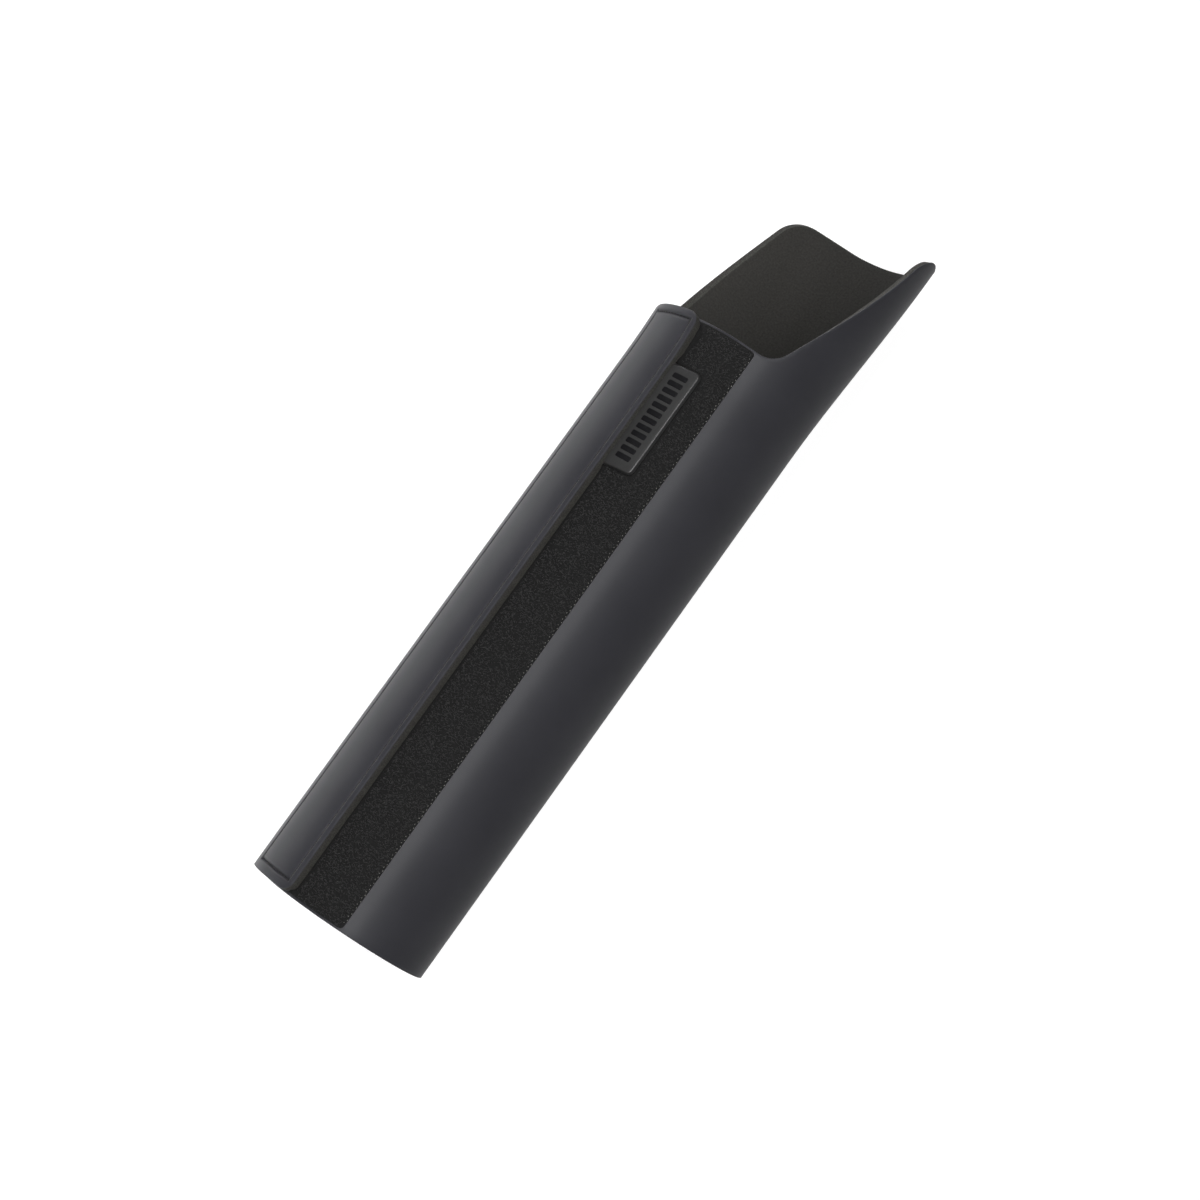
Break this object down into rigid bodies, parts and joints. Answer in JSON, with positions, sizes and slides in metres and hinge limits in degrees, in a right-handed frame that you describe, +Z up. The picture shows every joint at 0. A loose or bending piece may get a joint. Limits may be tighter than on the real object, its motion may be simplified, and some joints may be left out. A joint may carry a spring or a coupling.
{
  "type": "wrap-round frame protector sleeve",
  "caption": "Padded foam sleeve rolled into a tube, closed lengthwise by a hook-and-loop flap, with an open tongue past one end.",
  "frame": {"origin": "middle of the bounding box in plan, on the surface that the sleeve lies on", "axes": "+X along the sleeve towards its tongue, +Y towards the flap's side, +Z up"},
  "size_m": [0.3026, 0.0718, 0.0642],
  "materials": {
    "neoprene_foam": "fabric-laminated closed-cell foam, near-black, satin",
    "loop_tape": "woven tape with a short looped pile, matt black",
    "hook_tape": "woven nylon tape with moulded hooks, matt black",
    "rubber_tab": "moulded soft rubber, dark grey, satin, unmarked",
    "sewing_thread": "bonded polyester thread, dark grey"
  },
  "bodies": {
    "root": {"sleeve_panel": "neoprene_foam", "loop_strip": "loop_tape", "hook_strip": "hook_tape", "label_tab": "rubber_tab", "flap_stitching": "sewing_thread", "loop_stitching": "sewing_thread", "loop_rear_stitching": "sewing_thread"}
  },
  "joints": []
}
